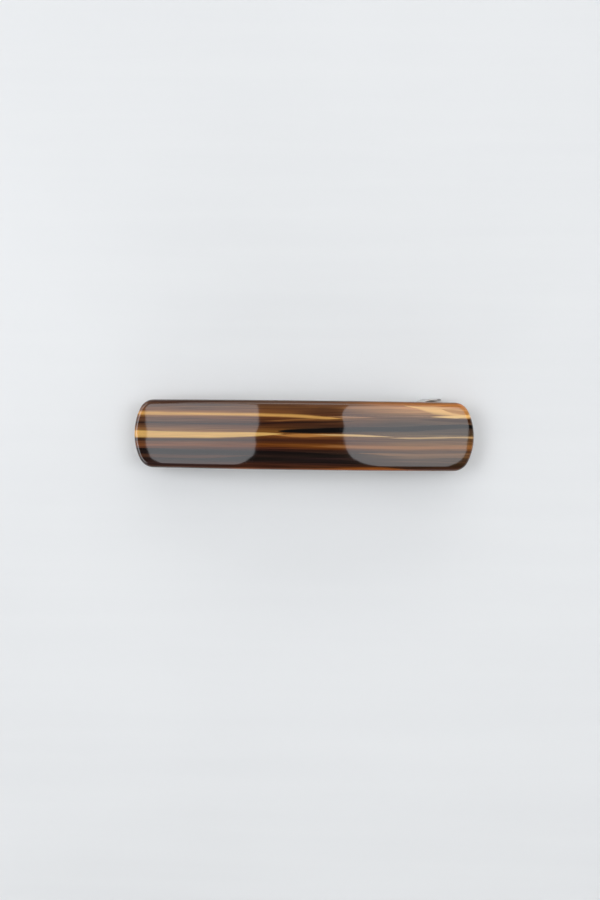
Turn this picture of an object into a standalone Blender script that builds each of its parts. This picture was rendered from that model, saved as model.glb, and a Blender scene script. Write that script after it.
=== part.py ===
"""Barrette: an arched acetate bar on a sprung steel clip.

X runs along the bar from the hinge end (-X) to the latch end (+X), +Y is the rear long edge and
+Z is the polished face. The barrette lies on its clip, so z = 0 is the surface under it.
"""
from math import asin, atan2, cos, hypot, pi, radians, sin, sqrt

import bmesh
import bpy
from mathutils import Vector

MM = 0.001

# Acetate bar (all sizes in millimetres)
BAR_LENGTH = 90.0
BAR_WIDTH = 18.0
BAR_THICK = 3.6
BAR_RADIUS = 115.0          # of the polished face, along the bar
BAR_END_RADIUS = 15.0       # bowed short ends, in plan
BAR_CORNER = 4.0
BAR_TOP_ROUND = 1.2         # polished edge
BAR_BACK_CHAMFER = 0.3
BAR_APEX_Z = 16.2

# Clip
GAP = 0.3                   # between pieces that touch
CLIP_OFFSET = 1.2           # clip sits this far behind the bar's centre line
SHEET = 0.6                 # base plate's gauge
BASE_LEFT, BASE_RIGHT = -39.0, 34.0
BASE_HALF = 4.0
FLANGE_DEPTH = 0.9
FLANGE_RIGHT = 18.0
EAR_START = -28.5

# Hinge and clasp arm
PIN_X, PIN_Z = -35.0, 2.2
PIN_R = 0.7
PIN_HEAD_R, PIN_HEAD_THICK = 1.2, 0.5
EAR_R = 2.35
ARM_THICK = 0.8
ARM_RADIUS = 160.0          # of the arm's mid surface
ARM_HALF = 2.6
ARM_HEAD_HALF = 3.0
ARM_NOSE_HALF = 2.0
ARM_TIP = 30.0
ARM_OPEN_SLOPE = 12.6       # degrees, where the arm leaves its knuckle
SLOT_HALF = 1.2
SLOT_LEFT, SLOT_RIGHT = -26.0, 16.0

# Bow spring
SPRING_THICK = 0.4
SPRING_HALF = 2.2
LUG_X, LUG_HALF_LENGTH = -31.6, 0.8
SPRING_RIGHT = 23.5

# Latch
LATCH_X = 26.5              # bridge's centre, and the folds that the wings turn about
BRIDGE_HALF_LENGTH = 1.6
BRIDGE_HALF = 3.35
LATCH_SHEET = 0.5
FOLD_Y = 3.5
CHEEK_Y = 3.9               # cheek's mid surface, from the clip's centre line
WING_REACH = 10.0           # rear wing's outer face, from the bar's centre line
HOOK_REACH = 2.45           # hook's inner edge, from the clip's centre line

# Fixings
SHANK_R = 0.8
HEAD_R, HEAD_THICK = 1.3, 0.55
FIXING_X = {"hinge_end": -36.9, "latch_end": 31.5}

# Worked out from the above
BAR_Y = -(WING_REACH - BAR_WIDTH / 2) / 2
CLIP_Y = BAR_Y + CLIP_OFFSET
ARC_Z = BAR_APEX_Z - BAR_RADIUS
BASE_TOP_R = BAR_RADIUS - BAR_THICK - GAP
BASE_UNDER_R = BASE_TOP_R - SHEET
KNUCKLE_R = PIN_R + GAP + ARM_THICK / 2


# Geometry in the XZ plane -------------------------------------------------------------------

def arc_z(radius, x, centre=(0.0, ARC_Z)):
    """Height at x of the upper half of a circle."""
    return centre[1] + sqrt(radius * radius - (x - centre[0]) ** 2)


def arc(radius, x0, x1, steps, centre=(0.0, ARC_Z)):
    """Points along the upper half of a circle, from x0 to x1, at even angles."""
    a0 = asin((x0 - centre[0]) / radius)
    a1 = asin((x1 - centre[0]) / radius)
    angles = [a0 + (a1 - a0) * i / steps for i in range(steps + 1)]
    return [(centre[0] + radius * sin(a), centre[1] + radius * cos(a)) for a in angles]


def circle_through(p, q, r):
    """Centre and radius of the circle through three points."""
    d = 2 * (p[0] * (q[1] - r[1]) + q[0] * (r[1] - p[1]) + r[0] * (p[1] - q[1]))
    pp, qq, rr = (a[0] ** 2 + a[1] ** 2 for a in (p, q, r))
    cx = (pp * (q[1] - r[1]) + qq * (r[1] - p[1]) + rr * (p[1] - q[1])) / d
    cz = (pp * (r[0] - q[0]) + qq * (p[0] - r[0]) + rr * (q[0] - p[0])) / d
    return (cx, cz), hypot(p[0] - cx, p[1] - cz)


def thicken(path, thick):
    """Outline of a strip of even thickness along an open path."""
    sides = ([], [])
    for i, (x, z) in enumerate(path):
        before = path[max(i - 1, 0)]
        after = path[min(i + 1, len(path) - 1)]
        here = Vector((after[0] - before[0], after[1] - before[1])).normalized()
        lead = Vector((after[0] - x, after[1] - z)) if i < len(path) - 1 else here
        mitre = thick / 2 / max(here.dot(lead.normalized()), 0.5)
        normal = Vector((-here.y, here.x)) * mitre
        sides[0].append((x + normal.x, z + normal.y))
        sides[1].append((x - normal.x, z - normal.y))
    return sides[0] + sides[1][::-1]


# Meshes -------------------------------------------------------------------------------------

def material(name, colour, roughness, metallic):
    made = bpy.data.materials.new(name)
    made.use_nodes = True
    shader = made.node_tree.nodes["Principled BSDF"]
    shader.inputs["Base Color"].default_value = (*colour, 1.0)
    shader.inputs["Roughness"].default_value = roughness
    shader.inputs["Metallic"].default_value = metallic
    return made


def solid(name, points, faces, finish=None, origin=(0.0, 0.0, 0.0)):
    """A closed mesh object from points in millimetres, with its origin at the given point."""
    start = Vector(origin)
    mesh = bpy.data.meshes.new(name)
    mesh.from_pydata([(Vector(p) - start) * MM for p in points], [], faces)
    tool = bmesh.new()
    tool.from_mesh(mesh)
    bmesh.ops.recalc_face_normals(tool, faces=tool.faces)
    tool.to_mesh(mesh)
    tool.free()
    mesh.shade_smooth()
    mesh.set_sharp_from_angle(angle=radians(30))
    thing = bpy.data.objects.new(name, mesh)
    thing.location = start * MM
    bpy.context.collection.objects.link(thing)
    if finish:
        mesh.materials.append(finish)
    else:
        thing.hide_render = True
        thing.display_type = "WIRE"
    return thing


def prism(name, outline, low, high, across="Y", finish=None, origin=(0.0, 0.0, 0.0)):
    """An outline in XZ pushed along Y, or one in XY pushed along Z."""
    def place(p, level):
        return (p[0], level, p[1]) if across == "Y" else (p[0], p[1], level)

    n = len(outline)
    points = [place(p, low) for p in outline] + [place(p, high) for p in outline]
    faces = [(i, (i + 1) % n, n + (i + 1) % n, n + i) for i in range(n)]
    faces += [tuple(range(n)), tuple(range(n, 2 * n))]
    return solid(name, points, faces, finish, origin)


def turned(name, profile, foot, direction, finish=None, sides=24):
    """A profile of (radius, height) pairs turned about a line from its foot, closed at both ends."""
    axis = Vector(direction).normalized()
    across = axis.orthogonal().normalized()
    other = axis.cross(across)
    points = []
    for radius, height in profile:
        for i in range(sides):
            a = 2 * pi * i / sides
            ray = across * cos(a) + other * sin(a)
            points.append(Vector(foot) + axis * height + ray * radius)
    faces = []
    for ring in range(len(profile) - 1):
        for i in range(sides):
            j = (i + 1) % sides
            low, high = ring * sides, (ring + 1) * sides
            faces.append((low + i, low + j, high + j, high + i))
    faces.append(tuple(range(sides)))
    faces.append(tuple(range(len(points) - sides, len(points))))
    return solid(name, points, faces, finish)


def combine(target, tool, operation):
    step = target.modifiers.new(f"{operation.lower()}_{tool.name}", "BOOLEAN")
    step.operation = operation
    step.object = tool
    step.solver = "EXACT"


def base_frame(x):
    """Point on the base plate's underside above x, and the outward direction of the arch there."""
    lean = asin(x / BASE_UNDER_R)
    normal = Vector((sin(lean), 0.0, cos(lean)))
    return Vector((x, CLIP_Y, arc_z(BASE_UNDER_R, x))), normal, lean


# Acetate bar --------------------------------------------------------------------------------

def bar_outline(inset, sheet_half):
    """Half outline from one end's middle to the other's: bowed ends, round corners, straight side."""
    half = BAR_WIDTH / 2
    bow_x = sheet_half - BAR_END_RADIUS
    corner_y = half - BAR_CORNER
    reach = sqrt((BAR_END_RADIUS - BAR_CORNER) ** 2 - corner_y ** 2)
    corner_x = bow_x + reach
    turn = atan2(corner_y, reach)
    bow_steps, corner_steps, side_steps = 5, 6, 36
    end = []
    for i in range(bow_steps):
        a = turn * i / bow_steps
        radius = BAR_END_RADIUS - inset
        end.append((bow_x + radius * cos(a), radius * sin(a)))
    for i in range(corner_steps + 1):
        a = turn + (pi / 2 - turn) * i / corner_steps
        radius = BAR_CORNER - inset
        end.append((corner_x + radius * cos(a), corner_y + radius * sin(a)))
    side = [(corner_x * (2 * i / side_steps - 1), half - inset) for i in range(1, side_steps)]
    return [(-x, y) for x, y in end] + side + end[::-1]


def make_bar(finish):
    """Cut from flat sheet, bent to the arch, and polished round at its face's edge."""
    levels = [(BAR_TOP_ROUND * (1 - sin(a)), BAR_TOP_ROUND * (1 - cos(a)))
              for a in (radians(90 * i / 4) for i in range(5))]
    levels += [(0.0, BAR_THICK - BAR_BACK_CHAMFER), (BAR_BACK_CHAMFER, BAR_THICK)]

    sheet_half = min(BAR_LENGTH / 2 * BAR_RADIUS / (BAR_RADIUS - depth) + inset
                     for inset, depth in levels)

    def bent(x, y, depth):
        lean = asin(x / BAR_RADIUS)
        radius = BAR_RADIUS - depth
        return (radius * sin(lean), BAR_Y + y, ARC_Z + radius * cos(lean))

    points, faces = [], []
    for inset, depth in levels:
        half = bar_outline(inset, sheet_half)
        loop = half + [(x, -y) for x, y in half[-2:0:-1]]
        points += [bent(x, y, depth) for x, y in loop]
    n = len(half)
    count = 2 * n - 2
    for level in range(len(levels) - 1):
        for i in range(count):
            j = (i + 1) % count
            low, high = level * count, (level + 1) * count
            faces.append((low + i, low + j, high + j, high + i))
    for start in (0, (len(levels) - 1) * count):
        for i in range(n - 1):
            quad = (start + i, start + i + 1, start + (count - i - 1) % count, start + (count - i) % count)
            faces.append(tuple(dict.fromkeys(quad)))
    return solid("acetate_bar", points, faces, finish)


# Clip base ----------------------------------------------------------------------------------

def make_base(finish):
    """Folded sheet: an arched web with two low flanges, which deepen into the hinge's ears."""
    web = (arc(BASE_TOP_R, BASE_LEFT, BASE_RIGHT, 32)
           + arc(BASE_UNDER_R, BASE_LEFT, BASE_RIGHT, 32)[::-1])
    half = BASE_HALF - 0.25
    base = prism("clip_base", web, CLIP_Y - half, CLIP_Y + half, finish=finish)
    plan = []
    for end, first, corner in ((BASE_RIGHT, -90, 2.4), (BASE_LEFT, 90, 1.0)):
        out = 1 if end > 0 else -1
        for side, turn in ((-out, 0), (out, 90)):
            for i in range(6):
                a = radians(first + turn + 18 * i)
                plan.append((end - out * (corner - 0.02) + corner * cos(a),
                             CLIP_Y + side * (half + 0.02 - corner) + corner * sin(a)))
    combine(base, prism("base_plan", plan, 0.0, 20.0, "Z"), "INTERSECT")

    low_r = BASE_UNDER_R - FLANGE_DEPTH
    side = arc(BASE_TOP_R - 0.15, BASE_LEFT + 0.4, FLANGE_RIGHT, 24)
    side += arc(low_r, EAR_START, FLANGE_RIGHT, 20)[::-1]
    for i in range(15):
        a = radians(-12 - 166 * i / 14)
        x, z = PIN_X + EAR_R * cos(a), PIN_Z + EAR_R * sin(a)
        if z > 0:
            side.append((x, z))
        elif side[-1][1] > 0:
            flat = sqrt(EAR_R ** 2 - PIN_Z ** 2)
            side += [(PIN_X + flat, 0.0), (PIN_X - flat, 0.0)]
    for name, sign in (("rear", 1), ("front", -1)):
        y0, y1 = sorted((CLIP_Y + sign * (BASE_HALF - SHEET), CLIP_Y + sign * BASE_HALF))
        combine(base, prism(f"{name}_flange", side, y0, y1), "UNION")

    reach = BASE_HALF + 2
    pin_hole = turned("pin_hole", [(PIN_R + GAP, -reach), (PIN_R + GAP, reach)],
                      (PIN_X, CLIP_Y, PIN_Z), (0, 1, 0))
    combine(base, pin_hole, "DIFFERENCE")
    lug_z = spring_z(LUG_X)
    room = LUG_HALF_LENGTH + GAP
    tall = SPRING_THICK / 2 + GAP + 0.1
    window = [(LUG_X - room, lug_z - tall), (LUG_X + room, lug_z - tall),
              (LUG_X + room, lug_z + tall), (LUG_X - room, lug_z + tall)]
    combine(base, prism("lug_windows", window, CLIP_Y - reach, CLIP_Y + reach), "DIFFERENCE")
    for name, x in (("latch_rivet_hole", LATCH_X), *((f"{k}_hole", v) for k, v in FIXING_X.items())):
        foot, normal, _ = base_frame(x)
        bore = SHANK_R + GAP
        combine(base, turned(name, [(bore, -1.0), (bore, SHEET + 1.0)], foot, normal, sides=16),
                "DIFFERENCE")
    return base


def make_fixing(name, x, rise, foot_gap, finish):
    """A headed pin: a domed head under the plate, and a shank up through it."""
    foot, normal, _ = base_frame(x)
    top = -foot_gap
    profile = [(HEAD_R * 0.55, top - HEAD_THICK), (HEAD_R * 0.88, top - HEAD_THICK * 0.72),
               (HEAD_R, top - HEAD_THICK * 0.3), (HEAD_R, top), (SHANK_R, top), (SHANK_R, rise)]
    return turned(name, profile, foot, normal, finish, sides=16)


# Bow spring ---------------------------------------------------------------------------------

def spring_arc():
    """Mid surface: from the lugs in the ears, up to a crown below the base, to its free end."""
    crown_x = -3.0
    ear_drop, crown_drop = 1.05, 1.55
    start = (LUG_X, arc_z(BASE_UNDER_R, LUG_X) - ear_drop)
    crown = (crown_x, arc_z(BASE_UNDER_R, crown_x) - crown_drop)
    end = (SPRING_RIGHT, arc_z(BASE_UNDER_R, SPRING_RIGHT) - GAP - SPRING_THICK / 2 - 0.05)
    return circle_through(start, crown, end)


def spring_z(x):
    centre, radius = spring_arc()
    return arc_z(radius, x, centre)


def make_spring(finish):
    """A thin bowed strip with a pair of lugs that hold it in the ears."""
    centre, radius = spring_arc()
    left, right = LUG_X - LUG_HALF_LENGTH, SPRING_RIGHT
    outline = (arc(radius + SPRING_THICK / 2, left, right, 20, centre)
               + arc(radius - SPRING_THICK / 2, left, right, 20, centre)[::-1])
    lug_half = BASE_HALF - 0.1
    strip = prism("bow_spring", outline, CLIP_Y - lug_half, CLIP_Y + lug_half, finish=finish)
    w, neck = SPRING_HALF, LUG_X + LUG_HALF_LENGTH
    plan = [(left - 1, -lug_half - 1), (neck, -lug_half - 1), (neck, -w), (right - 1.2, -w),
            (right + 0.02, -w + 1.0), (right + 0.02, w - 1.0), (right - 1.2, w), (neck, w),
            (neck, lug_half + 1), (left - 1, lug_half + 1)]
    plan = [(x, y + CLIP_Y) for x, y in plan]
    combine(strip, prism("spring_plan", plan, 0.0, 20.0, "Z"), "INTERSECT")
    return strip


# Clasp arm and hinge pin --------------------------------------------------------------------

def arm_leave():
    """Where the arm leaves its knuckle, and the centre of the arm's arc."""
    a = radians(-90 + ARM_OPEN_SLOPE)
    leave = (PIN_X + KNUCKLE_R * cos(a), PIN_Z + KNUCKLE_R * sin(a))
    rise = radians(ARM_OPEN_SLOPE)
    return leave, (leave[0] + ARM_RADIUS * sin(rise), leave[1] - ARM_RADIUS * cos(rise))


def make_arm(finish):
    """Stamped strip, curled round the pin at one end, with a long slot, a head and a nose."""
    leave, centre = arm_leave()
    curl_from, curl_to, curl_steps = 12.0, 270.0 + ARM_OPEN_SLOPE, 18
    path = []
    for i in range(curl_steps):
        a = radians(curl_from + (curl_to - curl_from) * i / curl_steps)
        path.append((PIN_X + KNUCKLE_R * cos(a), PIN_Z + KNUCKLE_R * sin(a)))
    path += arc(ARM_RADIUS, leave[0], ARM_TIP, 26, centre)
    wide = ARM_HEAD_HALF + 0.4
    arm = prism("clasp_arm", thicken(path, ARM_THICK), CLIP_Y - wide, CLIP_Y + wide,
                finish=finish, origin=(PIN_X, CLIP_Y, PIN_Z))

    edge = [(PIN_X - 4, ARM_HALF), (17.0, ARM_HALF), (18.6, ARM_HEAD_HALF), (23.2, ARM_HEAD_HALF),
            (24.2, ARM_NOSE_HALF)]
    nose_steps = 6
    for i in range(nose_steps + 1):
        a = radians(90 - 90 * i / nose_steps)
        edge.append((ARM_TIP - ARM_NOSE_HALF + (ARM_NOSE_HALF - 0.05) * cos(a), ARM_NOSE_HALF * sin(a)))
    plan = edge + [(x, -y) for x, y in edge[::-1] if y > 0.01]
    plan = [(x, y + CLIP_Y) for x, y in plan]
    combine(arm, prism("arm_plan", plan, -3.0, 9.0, "Z"), "INTERSECT")

    slot, turns = [], 8
    for centre_x, first in ((SLOT_RIGHT - SLOT_HALF, -90), (SLOT_LEFT + SLOT_HALF, 90)):
        for i in range(turns + 1):
            a = radians(first + 180 * i / turns)
            slot.append((centre_x + SLOT_HALF * cos(a), CLIP_Y + SLOT_HALF * sin(a)))
    combine(arm, prism("arm_slot", slot, -3.0, 9.0, "Z"), "DIFFERENCE")
    return arm


def make_pin(finish):
    """Headed pin across the ears."""
    inner = BASE_HALF + GAP
    outer = inner + PIN_HEAD_THICK
    profile = [(PIN_HEAD_R * 0.7, -outer), (PIN_HEAD_R, -outer + 0.2), (PIN_HEAD_R, -inner),
               (PIN_R, -inner), (PIN_R, inner), (PIN_HEAD_R, inner), (PIN_HEAD_R, outer - 0.2),
               (PIN_HEAD_R * 0.7, outer)]
    return turned("hinge_pin", profile, (PIN_X, CLIP_Y, PIN_Z), (0, 1, 0), finish)


# Latch --------------------------------------------------------------------------------------

def make_bridge(finish):
    """The middle of the spring latch, riveted under the base plate."""
    foot, normal, lean = base_frame(LATCH_X)
    along = Vector((cos(lean), 0.0, -sin(lean)))
    corners = [(-BRIDGE_HALF_LENGTH, GAP), (BRIDGE_HALF_LENGTH, GAP),
               (BRIDGE_HALF_LENGTH, GAP + LATCH_SHEET), (-BRIDGE_HALF_LENGTH, GAP + LATCH_SHEET)]
    outline = [foot + along * u - normal * h for u, h in corners]
    bridge = prism("latch_bridge", [(p.x, p.z) for p in outline], CLIP_Y - BRIDGE_HALF,
                   CLIP_Y + BRIDGE_HALF, finish=finish)
    bore = SHANK_R + GAP
    hole = turned("bridge_hole", [(bore, -2.0), (bore, 1.0)], foot, normal, sides=16)
    combine(bridge, hole, "DIFFERENCE")
    return bridge


def wing_stations():
    """(u, v, top, foot) along a wing: u along the base, v outwards, top below the base plate,
    foot the height above the table that its lower edge has."""
    hook_end, pad_end, flare_from, flare_to = -7.0, 10.9, 0.9, 7.9
    pad_v = WING_REACH - CLIP_OFFSET - LATCH_SHEET / 2
    stations = []
    for u, foot in ((hook_end, 1.95), (-6.4, 1.9), (-4.2, 1.75), (-3.4, 2.4), (-1.6, 3.0)):
        stations.append((u, CHEEK_Y, GAP + 0.2, foot))
    flare_steps = 9
    for i in range(flare_steps + 1):
        t = i / flare_steps
        v = CHEEK_Y + (pad_v - CHEEK_Y) * sin(t * pi / 2)
        drop = 3.1 * max(0.0, 1 - t * 1.25) ** 1.5
        stations.append((flare_from + (flare_to - flare_from) * t, v, GAP + 0.2 + 0.4 * t, drop))
    for u, top in ((9.3, 0.95), (10.1, 1.25), (10.6, 1.8), (pad_end, 2.6)):
        stations.append((u, pad_v, top, 0.0))
    return stations


def make_wing(name, side, finish):
    """One side of the spring latch: hook, cheek and flared finger wing, from one strip."""
    foot, normal, lean = base_frame(LATCH_X)
    along = Vector((cos(lean), 0.0, -sin(lean)))
    stations = wing_stations()
    outline = thicken([(u, v) for u, v, _, _ in stations], LATCH_SHEET)
    n = len(stations)
    points = []
    for i, (u, _, top, low) in enumerate(stations):
        for edge in (outline[i], outline[2 * n - 1 - i]):
            eu, ev = edge
            deep = (foot.z - eu * sin(lean) - low) / cos(lean)
            for h in (top, deep):
                p = foot + along * eu - normal * h
                points.append((p.x, CLIP_Y + side * ev, p.z))
    faces = [(0, 1, 3, 2), (4 * n - 4, 4 * n - 3, 4 * n - 1, 4 * n - 2)]
    for i in range(n - 1):
        a, b = 4 * i, 4 * i + 4
        faces += [(a, a + 1, b + 1, b), (a + 2, a + 3, b + 3, b + 2),
                  (a, a + 2, b + 2, b), (a + 1, a + 3, b + 3, b + 1)]
    pivot = foot + Vector((0.0, side * FOLD_Y, 0.0))
    wing = solid(name, points, faces, finish, origin=pivot)

    _, centre = arm_leave()
    top_r = ARM_RADIUS - ARM_THICK / 2 - GAP
    hook = (arc(top_r, 20.0, 22.3, 3, centre) + arc(top_r - 0.6, 20.0, 22.3, 3, centre)[::-1])
    y0, y1 = sorted((CLIP_Y + side * HOOK_REACH, CLIP_Y + side * (CHEEK_Y + 0.05)))
    combine(wing, prism(f"{name}_hook", hook, y0, y1), "UNION")
    return wing


# Assembly -----------------------------------------------------------------------------------

for old in list(bpy.data.objects):
    bpy.data.objects.remove(old, do_unlink=True)

acetate = material("streaked_acetate", (0.17, 0.075, 0.03), 0.12, 0.0)
nickel = material("nickel_plated_steel", (0.72, 0.71, 0.69), 0.22, 1.0)
spring_steel = material("blued_spring_steel", (0.55, 0.55, 0.56), 0.28, 1.0)

bar = make_bar(acetate)
make_base(nickel)
make_spring(spring_steel)
make_arm(nickel)
make_pin(nickel)
make_bridge(spring_steel)
make_wing("latch_wing_rear", 1, spring_steel)
make_wing("latch_wing_front", -1, spring_steel)
make_fixing("latch_rivet", LATCH_X, SHEET - 0.05, 2 * GAP + LATCH_SHEET, nickel)

pin_rise = SHEET + GAP + 1.9
for place, x in FIXING_X.items():
    make_fixing(f"fixing_pin_{place}", x, pin_rise, GAP, nickel)
    foot, normal, _ = base_frame(x)
    bore = SHANK_R + GAP
    socket = turned(f"bar_socket_{place}", [(bore, 0.0), (bore, pin_rise + GAP)], foot, normal, sides=16)
    combine(bar, socket, "DIFFERENCE")
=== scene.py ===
"""Barrette: a polished, streaked acetate bar on a nickel-plated French clip."""
from math import asin, atan2, ceil, cos, hypot, pi, radians, sin, sqrt, tan

import bmesh
import bpy
from mathutils import Matrix, Vector, geometry, kdtree


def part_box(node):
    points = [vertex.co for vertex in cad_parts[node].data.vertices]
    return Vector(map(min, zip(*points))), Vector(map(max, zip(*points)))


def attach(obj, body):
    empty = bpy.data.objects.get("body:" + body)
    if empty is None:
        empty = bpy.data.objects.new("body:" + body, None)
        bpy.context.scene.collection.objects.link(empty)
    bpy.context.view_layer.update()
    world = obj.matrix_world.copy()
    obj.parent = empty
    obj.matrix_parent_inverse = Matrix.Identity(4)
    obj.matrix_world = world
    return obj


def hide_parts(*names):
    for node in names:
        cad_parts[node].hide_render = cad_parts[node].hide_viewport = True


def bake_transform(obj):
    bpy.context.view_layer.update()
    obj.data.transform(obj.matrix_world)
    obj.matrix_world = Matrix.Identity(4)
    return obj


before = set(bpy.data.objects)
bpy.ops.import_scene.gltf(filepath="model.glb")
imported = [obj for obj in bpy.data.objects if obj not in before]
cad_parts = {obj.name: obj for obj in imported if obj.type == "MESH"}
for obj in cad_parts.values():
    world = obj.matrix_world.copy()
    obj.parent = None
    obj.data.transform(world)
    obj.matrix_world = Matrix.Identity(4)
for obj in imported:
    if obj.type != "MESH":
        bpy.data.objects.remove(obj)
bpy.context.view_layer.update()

# ----------------------------------------
# Acetate bar.
# Cut from a streaked cellulose acetate sheet, bent hot to the arch, then tumbled and buffed, so
# its face is a little crowned, its edges are round and its gloss is deep.
# ----------------------------------------
MM = 0.001
BAR_LOW, BAR_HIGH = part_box("acetate_bar")
BAR_HALF_LENGTH = (BAR_HIGH.x - BAR_LOW.x) / 2 / MM
BAR_HALF_WIDTH = (BAR_HIGH.y - BAR_LOW.y) / 2 / MM
BAR_Y = (BAR_HIGH.y + BAR_LOW.y) / 2 / MM
BAR_APEX = BAR_HIGH.z / MM
SHEET_THICK = 3.6
ARCH_RADIUS = 115.0
END_BOW = 15.0
CORNER = 4.0
FACE_ROUND = 1.2
BACK_ROUND = 0.4
ROUND_STEPS = 8
CROWN = 0.25
ARCH_Z = BAR_APEX - ARCH_RADIUS


def bar_levels():
    """(inset, depth) of the rings from the face's rim, over its round edge, to the back's rim."""
    turns = [radians(90 * i / ROUND_STEPS) for i in range(ROUND_STEPS + 1)]
    face = [(FACE_ROUND * (1 - sin(a)), FACE_ROUND * (1 - cos(a))) for a in turns]
    wall = [(0.0, FACE_ROUND + (SHEET_THICK - BACK_ROUND - FACE_ROUND) * i / 3) for i in (1, 2)]
    back = [(BACK_ROUND * (1 - cos(a)), SHEET_THICK - BACK_ROUND * (1 - sin(a)))
            for a in turns[::2]]
    return face + wall + back


LEVELS = bar_levels()
SHEET_HALF = min(BAR_HALF_LENGTH * ARCH_RADIUS / (ARCH_RADIUS - deep) + inset
                 for inset, deep in LEVELS)
BOW_X = SHEET_HALF - END_BOW
CORNER_Y = BAR_HALF_WIDTH - CORNER
CORNER_X = BOW_X + sqrt((END_BOW - CORNER) ** 2 - CORNER_Y ** 2)
CORNER_TURN = atan2(CORNER_Y, CORNER_X - BOW_X)


def bar_end(y, inset):
    """How far the outline reaches along the bar at y: a bowed end with round corners."""
    y = abs(y)
    if y <= (END_BOW - inset) * sin(CORNER_TURN):
        return BOW_X + sqrt((END_BOW - inset) ** 2 - y * y)
    return CORNER_X + sqrt(max((CORNER - inset) ** 2 - (y - CORNER_Y) ** 2, 0.0))


def flat_bar():
    """The bar before it is bent: a grid for the face, one for the back, and rings between."""
    along, across = 220, 44
    shares = [-1 + 2 * i / along for i in range(along + 1)]
    rows = [sin(pi / 2 * (-1 + 2 * j / across)) for j in range(across + 1)]
    places, faces = [], []

    def spot(i, j, inset):
        y = rows[j] * (BAR_HALF_WIDTH - inset)
        return shares[i] * bar_end(y, inset), y

    def grid(inset, deep, up):
        start = len(places)
        for i in range(along + 1):
            for j in range(across + 1):
                places.append((*spot(i, j, inset), deep))
        for i in range(along):
            for j in range(across):
                a = start + i * (across + 1) + j
                quad = (a, a + across + 1, a + across + 2, a + 1)
                faces.append(quad if up else quad[::-1])
        return start

    def join(upper, lower):
        for k in range(len(rim)):
            n = (k + 1) % len(rim)
            faces.append((upper[k], lower[k], lower[n], upper[n]))

    rim = [(i, 0) for i in range(along)] + [(along, j) for j in range(across)]
    rim += [(i, across) for i in range(along, 0, -1)] + [(0, j) for j in range(across, 0, -1)]
    face_start = grid(*LEVELS[0], True)
    ring = [face_start + i * (across + 1) + j for i, j in rim]
    for inset, deep in LEVELS[1:-1]:
        start = len(places)
        places.extend((*spot(i, j, inset), deep) for i, j in rim)
        lower = list(range(start, len(places)))
        join(ring, lower)
        ring = lower
    back_start = grid(*LEVELS[-1], False)
    join(ring, [back_start + i * (across + 1) + j for i, j in rim])

    mesh = bpy.data.meshes.new("flat_bar")
    mesh.from_pydata([Vector((x, y, -deep)) * MM for x, y, deep in places], [], faces)
    share = mesh.attributes.new("share", "FLOAT", "POINT")
    for k, (x, y, _) in enumerate(places):
        share.data[k].value = x / bar_end(y, 0.0) if abs(y) < BAR_HALF_WIDTH else x / CORNER_X
    mesh.shade_smooth()
    return mesh


def add_node(tree, kind, inputs=None, **settings):
    """A node with its settings, and its inputs set or linked by name or number."""
    family = "" if kind.startswith(("Geometry", "Function")) else "ShaderNode"
    made = tree.nodes.new(family + kind)
    for key, value in settings.items():
        setattr(made, key, value)
    for key, value in (inputs or {}).items():
        if isinstance(value, bpy.types.NodeSocket):
            tree.links.new(value, made.inputs[key])
        else:
            made.inputs[key].default_value = value
    return made


def reckon(tree, operation, *values):
    """The result of one math node."""
    return add_node(tree, "Math", dict(enumerate(values)), operation=operation).outputs[0]


def scaled(tree, vector, by):
    """A vector times one number, or times three."""
    if isinstance(by, tuple):
        return add_node(tree, "VectorMath", {0: vector, 1: by}, operation="MULTIPLY").outputs[0]
    return add_node(tree, "VectorMath", {0: vector, 3: by}, operation="SCALE").outputs[0]


def combine(tree, x=0.0, y=0.0, z=0.0):
    return add_node(tree, "CombineXYZ", {0: x, 1: y, 2: z}).outputs[0]


def noise(tree, source, scale, detail):
    """Noise of 0 to 1, with its own fineness along x, y and z."""
    sizes = {"Vector": scaled(tree, source, scale), "Scale": 1.0, "Detail": detail}
    return add_node(tree, "TexNoise", sizes).outputs["Fac"]


def ease(tree, value, low, high, start=0.0, end=1.0):
    """A smooth step from start to end as value goes from low to high."""
    step = {"Value": value, "From Min": low, "From Max": high, "To Min": start, "To Max": end}
    return add_node(tree, "MapRange", step, interpolation_type="SMOOTHSTEP").outputs["Result"]


def mix_colour(tree, share, under, over):
    mixed = add_node(tree, "Mix", {0: share, 6: under, 7: over}, data_type="RGBA")
    return mixed.outputs[2]


def tint(red, green, blue):
    """A screen colour of 0 to 255 as the linear colour that a shader takes."""
    def linear(c):
        c /= 255
        return c / 12.92 if c <= 0.04045 else ((c + 0.055) / 1.055) ** 2.4
    return (linear(red), linear(green), linear(blue), 1.0)


def new_tree(name, sizes):
    """A geometry tree with a mesh in, a mesh out, and a named input for each size."""
    tree = bpy.data.node_groups.new(name, "GeometryNodeTree")
    tree.interface.new_socket("Geometry", in_out="INPUT", socket_type="NodeSocketGeometry")
    tree.interface.new_socket("Geometry", in_out="OUTPUT", socket_type="NodeSocketGeometry")
    for size in sizes:
        tree.interface.new_socket(size, in_out="INPUT", socket_type="NodeSocketFloat")
    return tree, tree.nodes.new("NodeGroupInput").outputs


def end_tree(tree, geometry_socket, finish):
    """Close a tree: real faces in the piece's own finish."""
    real = add_node(tree, "GeometryNodeRealizeInstances", {0: geometry_socket})
    painted = add_node(tree, "GeometryNodeSetMaterial", {"Geometry": real.outputs[0]})
    painted.inputs["Material"].default_value = finish
    out = tree.nodes.new("NodeGroupOutput")
    tree.links.new(painted.outputs[0], out.inputs[0])


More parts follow.
